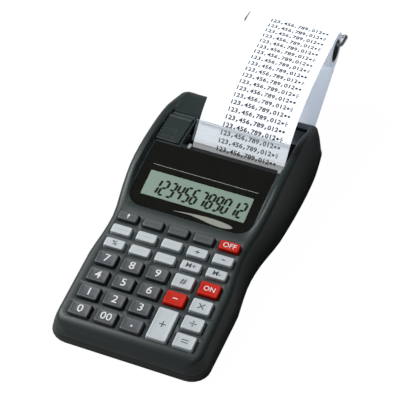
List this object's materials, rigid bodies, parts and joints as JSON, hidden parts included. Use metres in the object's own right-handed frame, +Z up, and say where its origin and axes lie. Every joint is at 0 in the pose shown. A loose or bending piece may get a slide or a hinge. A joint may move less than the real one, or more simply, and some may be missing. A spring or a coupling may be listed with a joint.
{
  "type": "printing calculator",
  "caption": "Hand-held printing calculator with keypad, display, small printer, tear bar, and a paper roll on a wire holder behind.",
  "frame": {"origin": "middle of the whole object's plan, at the level the feet stand on", "axes": "+Y from the keyboard edge towards the paper roll, +Z up, +X to the user's right"},
  "size_m": [0.1026, 0.2534, 0.0586],
  "materials": {
    "case_plastic": "fine moulded texture",
    "dark_key_plastic": "moulded",
    "light_key_plastic": "moulded",
    "red_key_plastic": "moulded",
    "panel_plastic": "polished",
    "display_glass": "polished",
    "tear_bar_plastic": "clear, polished",
    "paper": "uncoated",
    "chrome_wire": "plated",
    "foot_rubber": "matt",
    "membrane_rubber": "matt",
    "circuit_board": "lacquered",
    "cell_jacket": "satin",
    "printer_plastic": "moulded",
    "roller_plastic": "ground",
    "gear_plastic": "moulded",
    "pinion_brass": "cut",
    "motor_steel": "zinc plated",
    "ink_foam": "porous"
  },
  "bodies": {
    "case": {"battery_1": "cell_jacket", "battery_2": "cell_jacket", "battery_3": "cell_jacket", "battery_4": "cell_jacket", "display_panel": "panel_plastic", "drive_motor": "motor_steel", "front_foot": "foot_rubber", "key_membrane": "membrane_rubber", "lcd_module": "display_glass", "lower_case": "case_plastic", "main_board": "circuit_board", "paper_strip": "paper", "printer_frame": "printer_plastic", "rear_foot": "foot_rubber", "roll_holder": "chrome_wire", "tear_bar": "tear_bar_plastic", "upper_case": "case_plastic"},
    "key_0": {"key_0": "dark_key_plastic"},
    "key_00": {"key_00": "dark_key_plastic"},
    "key_point": {"key_point": "dark_key_plastic"},
    "key_1": {"key_1": "dark_key_plastic"},
    "key_2": {"key_2": "dark_key_plastic"},
    "key_3": {"key_3": "dark_key_plastic"},
    "key_4": {"key_4": "dark_key_plastic"},
    "key_5": {"key_5": "dark_key_plastic"},
    "key_6": {"key_6": "dark_key_plastic"},
    "key_7": {"key_7": "dark_key_plastic"},
    "key_8": {"key_8": "dark_key_plastic"},
    "key_9": {"key_9": "dark_key_plastic"},
    "key_plus": {"key_plus": "light_key_plastic"},
    "key_minus": {"key_minus": "red_key_plastic"},
    "key_hash": {"key_hash": "light_key_plastic"},
    "key_equals": {"key_equals": "light_key_plastic"},
    "key_divide": {"key_divide": "light_key_plastic"},
    "key_times": {"key_times": "light_key_plastic"},
    "key_on_clear": {"key_on_clear": "red_key_plastic"},
    "key_percent": {"key_percent": "light_key_plastic"},
    "key_markup": {"key_markup": "light_key_plastic"},
    "key_memory_clear": {"key_memory_clear": "light_key_plastic"},
    "key_memory_plus": {"key_memory_plus": "light_key_plastic"},
    "key_memory_minus": {"key_memory_minus": "light_key_plastic"},
    "key_currency": {"key_currency": "light_key_plastic"},
    "key_local": {"key_local": "light_key_plastic"},
    "key_rate": {"key_rate": "light_key_plastic"},
    "key_tax_plus": {"key_tax_plus": "light_key_plastic"},
    "key_tax_minus": {"key_tax_minus": "light_key_plastic"},
    "key_shift": {"key_shift": "dark_key_plastic"},
    "key_decimals": {"key_decimals": "dark_key_plastic"},
    "key_function": {"key_function": "dark_key_plastic"},
    "key_print": {"key_print": "dark_key_plastic"},
    "key_off": {"key_off": "red_key_plastic"},
    "ink_roller_cover": {"ink_roller_cover": "case_plastic"},
    "battery_door": {"battery_door": "case_plastic"},
    "paper_roll": {"paper_roll": "paper"},
    "feed_roller": {"feed_roller": "roller_plastic"},
    "idler_gear": {"idler_gear": "gear_plastic"},
    "motor_pinion": {"motor_pinion": "pinion_brass"},
    "print_carriage": {"print_carriage": "printer_plastic"},
    "type_wheel": {"type_wheel": "printer_plastic"},
    "ink_roller": {"ink_roller": "ink_foam"}
  },
  "joints": [
    {"name": "key_0_press", "type": "slide", "parent": "case", "child": "key_0", "axis": [0, 0.1027, -0.9947], "range_m": [0, 0.0015], "stiffness_N_per_m": 300, "springref_m": -0.001},
    {"name": "key_00_press", "type": "slide", "parent": "case", "child": "key_00", "axis": [0, 0.1027, -0.9947], "range_m": [0, 0.0015], "stiffness_N_per_m": 300, "springref_m": -0.001},
    {"name": "key_point_press", "type": "slide", "parent": "case", "child": "key_point", "axis": [0, 0.1027, -0.9947], "range_m": [0, 0.0015], "stiffness_N_per_m": 300, "springref_m": -0.001},
    {"name": "key_1_press", "type": "slide", "parent": "case", "child": "key_1", "axis": [0, 0.1015, -0.9948], "range_m": [0, 0.0015], "stiffness_N_per_m": 300, "springref_m": -0.001},
    {"name": "key_2_press", "type": "slide", "parent": "case", "child": "key_2", "axis": [0, 0.1015, -0.9948], "range_m": [0, 0.0015], "stiffness_N_per_m": 300, "springref_m": -0.001},
    {"name": "key_3_press", "type": "slide", "parent": "case", "child": "key_3", "axis": [0, 0.1015, -0.9948], "range_m": [0, 0.0015], "stiffness_N_per_m": 300, "springref_m": -0.001},
    {"name": "key_4_press", "type": "slide", "parent": "case", "child": "key_4", "axis": [0, 0.106, -0.9944], "range_m": [0, 0.0015], "stiffness_N_per_m": 300, "springref_m": -0.001},
    {"name": "key_5_press", "type": "slide", "parent": "case", "child": "key_5", "axis": [0, 0.106, -0.9944], "range_m": [0, 0.0015], "stiffness_N_per_m": 300, "springref_m": -0.001},
    {"name": "key_6_press", "type": "slide", "parent": "case", "child": "key_6", "axis": [0, 0.106, -0.9944], "range_m": [0, 0.0015], "stiffness_N_per_m": 300, "springref_m": -0.001},
    {"name": "key_7_press", "type": "slide", "parent": "case", "child": "key_7", "axis": [0, 0.1162, -0.9932], "range_m": [0, 0.0015], "stiffness_N_per_m": 300, "springref_m": -0.001},
    {"name": "key_8_press", "type": "slide", "parent": "case", "child": "key_8", "axis": [0, 0.1162, -0.9932], "range_m": [0, 0.0015], "stiffness_N_per_m": 300, "springref_m": -0.001},
    {"name": "key_9_press", "type": "slide", "parent": "case", "child": "key_9", "axis": [0, 0.1162, -0.9932], "range_m": [0, 0.0015], "stiffness_N_per_m": 300, "springref_m": -0.001},
    {"name": "key_plus_press", "type": "slide", "parent": "case", "child": "key_plus", "axis": [0, 0.1014, -0.9948], "range_m": [0, 0.0015], "stiffness_N_per_m": 300, "springref_m": -0.001},
    {"name": "key_minus_press", "type": "slide", "parent": "case", "child": "key_minus", "axis": [0, 0.106, -0.9944], "range_m": [0, 0.0015], "stiffness_N_per_m": 300, "springref_m": -0.001},
    {"name": "key_hash_press", "type": "slide", "parent": "case", "child": "key_hash", "axis": [0, 0.1162, -0.9932], "range_m": [0, 0.0015], "stiffness_N_per_m": 300, "springref_m": -0.001},
    {"name": "key_equals_press", "type": "slide", "parent": "case", "child": "key_equals", "axis": [0, 0.1027, -0.9947], "range_m": [0, 0.0015], "stiffness_N_per_m": 300, "springref_m": -0.001},
    {"name": "key_divide_press", "type": "slide", "parent": "case", "child": "key_divide", "axis": [0, 0.1015, -0.9948], "range_m": [0, 0.0015], "stiffness_N_per_m": 300, "springref_m": -0.001},
    {"name": "key_times_press", "type": "slide", "parent": "case", "child": "key_times", "axis": [0, 0.106, -0.9944], "range_m": [0, 0.0015], "stiffness_N_per_m": 300, "springref_m": -0.001},
    {"name": "key_on_clear_press", "type": "slide", "parent": "case", "child": "key_on_clear", "axis": [0, 0.1162, -0.9932], "range_m": [0, 0.0015], "stiffness_N_per_m": 300, "springref_m": -0.001},
    {"name": "key_percent_press", "type": "slide", "parent": "case", "child": "key_percent", "axis": [0, 0.1257, -0.9921], "range_m": [0, 0.0015], "stiffness_N_per_m": 300, "springref_m": -0.001},
    {"name": "key_markup_press", "type": "slide", "parent": "case", "child": "key_markup", "axis": [0, 0.1257, -0.9921], "range_m": [0, 0.0015], "stiffness_N_per_m": 300, "springref_m": -0.001},
    {"name": "key_memory_clear_press", "type": "slide", "parent": "case", "child": "key_memory_clear", "axis": [0, 0.1257, -0.9921], "range_m": [0, 0.0015], "stiffness_N_per_m": 300, "springref_m": -0.001},
    {"name": "key_memory_plus_press", "type": "slide", "parent": "case", "child": "key_memory_plus", "axis": [0, 0.1257, -0.9921], "range_m": [0, 0.0015], "stiffness_N_per_m": 300, "springref_m": -0.001},
    {"name": "key_memory_minus_press", "type": "slide", "parent": "case", "child": "key_memory_minus", "axis": [0, 0.1257, -0.9921], "range_m": [0, 0.0015], "stiffness_N_per_m": 300, "springref_m": -0.001},
    {"name": "key_currency_press", "type": "slide", "parent": "case", "child": "key_currency", "axis": [0, 0.1323, -0.9912], "range_m": [0, 0.0015], "stiffness_N_per_m": 300, "springref_m": -0.001},
    {"name": "key_local_press", "type": "slide", "parent": "case", "child": "key_local", "axis": [0, 0.1323, -0.9912], "range_m": [0, 0.0015], "stiffness_N_per_m": 300, "springref_m": -0.001},
    {"name": "key_rate_press", "type": "slide", "parent": "case", "child": "key_rate", "axis": [0, 0.1323, -0.9912], "range_m": [0, 0.0015], "stiffness_N_per_m": 300, "springref_m": -0.001},
    {"name": "key_tax_plus_press", "type": "slide", "parent": "case", "child": "key_tax_plus", "axis": [0, 0.1323, -0.9912], "range_m": [0, 0.0015], "stiffness_N_per_m": 300, "springref_m": -0.001},
    {"name": "key_tax_minus_press", "type": "slide", "parent": "case", "child": "key_tax_minus", "axis": [0, 0.1323, -0.9912], "range_m": [0, 0.0015], "stiffness_N_per_m": 300, "springref_m": -0.001},
    {"name": "key_shift_press", "type": "slide", "parent": "case", "child": "key_shift", "axis": [0, 0.137, -0.9906], "range_m": [0, 0.0015], "stiffness_N_per_m": 300, "springref_m": -0.001},
    {"name": "key_decimals_press", "type": "slide", "parent": "case", "child": "key_decimals", "axis": [0, 0.137, -0.9906], "range_m": [0, 0.0015], "stiffness_N_per_m": 300, "springref_m": -0.001},
    {"name": "key_function_press", "type": "slide", "parent": "case", "child": "key_function", "axis": [0, 0.137, -0.9906], "range_m": [0, 0.0015], "stiffness_N_per_m": 300, "springref_m": -0.001},
    {"name": "key_print_press", "type": "slide", "parent": "case", "child": "key_print", "axis": [0, 0.137, -0.9906], "range_m": [0, 0.0015], "stiffness_N_per_m": 300, "springref_m": -0.001},
    {"name": "key_off_press", "type": "slide", "parent": "case", "child": "key_off", "axis": [0, 0.137, -0.9906], "range_m": [0, 0.0015], "stiffness_N_per_m": 300, "springref_m": -0.001},
    {"name": "cover_hinge", "type": "hinge", "parent": "case", "child": "ink_roller_cover", "pos_m": [-0.032, 0.03877, 0.02916], "axis": [-1, 0, 0], "range_deg": [0, 95]},
    {"name": "door_slide", "type": "slide", "parent": "case", "child": "battery_door", "axis": [0, 1, 0], "range_m": [0, 0.0055]},
    {"name": "roll_spin", "type": "hinge", "parent": "case", "child": "paper_roll", "pos_m": [0.011, 0.10982, 0.047], "axis": [1, 0, 0], "continuous": true},
    {"name": "feed_spin", "type": "hinge", "parent": "case", "child": "feed_roller", "pos_m": [0.011, 0.01882, 0.0238], "axis": [1, 0, 0], "continuous": true},
    {"name": "idler_spin", "type": "hinge", "parent": "case", "child": "idler_gear", "pos_m": [-0.0259, 0.02741, 0.01756], "axis": [1, 0, 0], "continuous": true},
    {"name": "pinion_spin", "type": "hinge", "parent": "case", "child": "motor_pinion", "pos_m": [-0.0259, 0.03596, 0.01651], "axis": [1, 0, 0], "continuous": true},
    {"name": "carriage_slide", "type": "slide", "parent": "case", "child": "print_carriage", "axis": [1, 0, 0], "range_m": [0, 0.068]},
    {"name": "type_spin", "type": "hinge", "parent": "print_carriage", "child": "type_wheel", "pos_m": [-0.0349, 0.00772, 0.0238], "axis": [1, 0, 0], "continuous": true},
    {"name": "ink_spin", "type": "hinge", "parent": "case", "child": "ink_roller", "pos_m": [-0.0345, 0.01852, 0.0238], "axis": [1, 0, 0], "continuous": true}
  ],
  "couplings": [
    {"joint": "idler_spin", "follows": "feed_spin", "ratio": -0.75},
    {"joint": "pinion_spin", "follows": "feed_spin", "ratio": 1.8}
  ]
}
